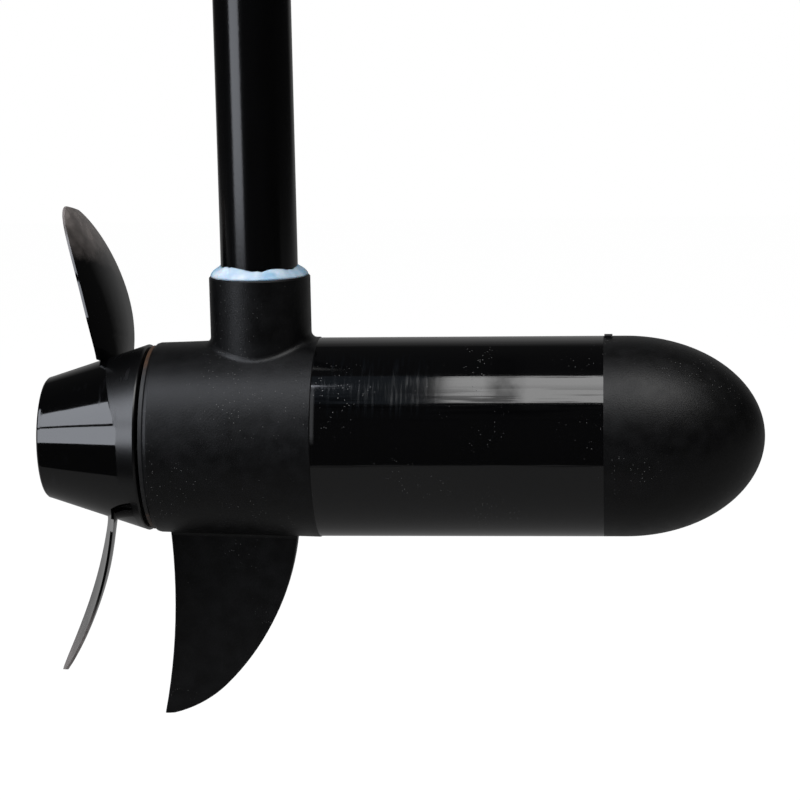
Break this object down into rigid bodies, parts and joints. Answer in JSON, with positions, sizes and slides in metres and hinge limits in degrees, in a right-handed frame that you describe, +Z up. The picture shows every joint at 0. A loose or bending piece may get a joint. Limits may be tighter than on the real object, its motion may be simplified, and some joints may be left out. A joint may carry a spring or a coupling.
{
  "type": "electric outboard motor lower unit",
  "caption": "Submerged unit of an electric outboard motor: round pod with column, skeg and a two-blade propeller that turns on the armature shaft.",
  "frame": {"origin": "centre of the column's upper end", "axes": "+Z up along the column, +X along the motor's axis from propeller to nose, +Y to the port side when the nose leads"},
  "size_m": [0.2977, 0.0832, 0.3693],
  "materials": {
    "column_paint": "satin black paint",
    "sealant": "bluish white sealant",
    "housing_paint": "matt black paint on a casting",
    "tube_gloss": "gloss black paint",
    "nose_paint": "matt black paint",
    "brown_ring": "brown rubber",
    "seal_rubber": "black nitrile rubber",
    "ferrite": "dark grey ceramic",
    "bronze": "sintered bronze",
    "nylon": "natural nylon",
    "card": "brown laminate",
    "zinc_steel": "zinc plated",
    "brass": "plain brass",
    "carbon": "carbon copper brush",
    "spring_steel": "spring steel",
    "stainless": "stainless steel",
    "lead_red": "red insulation",
    "lead_black": "black insulation",
    "connector_sleeve": "blue nylon sleeve",
    "core_steel": "varnished lamination stack",
    "copper_wire": "enamelled copper wire",
    "copper_bar": "turned copper",
    "propeller_gloss": "gloss black plastic"
  },
  "bodies": {
    "casing": {"brush_holder_lower": "brass", "brush_holder_upper": "brass", "brush_plate": "card", "brush_plate_screws": "zinc_steel", "brush_spring_lower": "spring_steel", "brush_spring_upper": "spring_steel", "column": "column_paint", "gap_ring": "brown_ring", "inner_shaft_seal": "seal_rubber", "lead_connectors": "connector_sleeve", "lead_grommet": "seal_rubber", "lead_lower": "lead_black", "lead_upper": "lead_red", "magnet_lower": "ferrite", "magnet_upper": "ferrite", "motor_tube": "tube_gloss", "nose_bearing": "bronze", "nose_cone": "nose_paint", "nose_thrust_washer": "nylon", "nose_tube_seal": "seal_rubber", "outer_shaft_seal": "seal_rubber", "rear_bearing": "bronze", "rear_housing": "housing_paint", "rear_thrust_washer": "nylon", "rear_tube_seal": "seal_rubber", "sealant_bead": "sealant", "tab_crimps": "brass", "through_bolt_seals": "seal_rubber", "through_bolts": "stainless"},
    "rotor": {"armature_core": "core_steel", "armature_windings": "copper_wire", "commutator": "copper_bar", "drive_pin": "stainless", "propeller": "propeller_gloss", "propeller_nut": "stainless", "propeller_washer": "stainless", "shaft": "stainless"},
    "upper_brush": {"brush_upper": "carbon"},
    "lower_brush": {"brush_lower": "carbon"}
  },
  "joints": [
    {"name": "propeller_spin", "type": "hinge", "parent": "casing", "child": "rotor", "pos_m": [0, 0, -0.25], "axis": [1, 0, 0], "continuous": true},
    {"name": "upper_brush_slide", "type": "slide", "parent": "casing", "child": "upper_brush", "axis": [0, 0, 1], "range_m": [0, 0.003], "stiffness_N_per_m": 150, "springref_m": -0.012, "deforming": ["brush_spring_upper"]},
    {"name": "lower_brush_slide", "type": "slide", "parent": "casing", "child": "lower_brush", "axis": [0, 0, -1], "range_m": [0, 0.003], "stiffness_N_per_m": 150, "springref_m": -0.012, "deforming": ["brush_spring_lower"]}
  ]
}
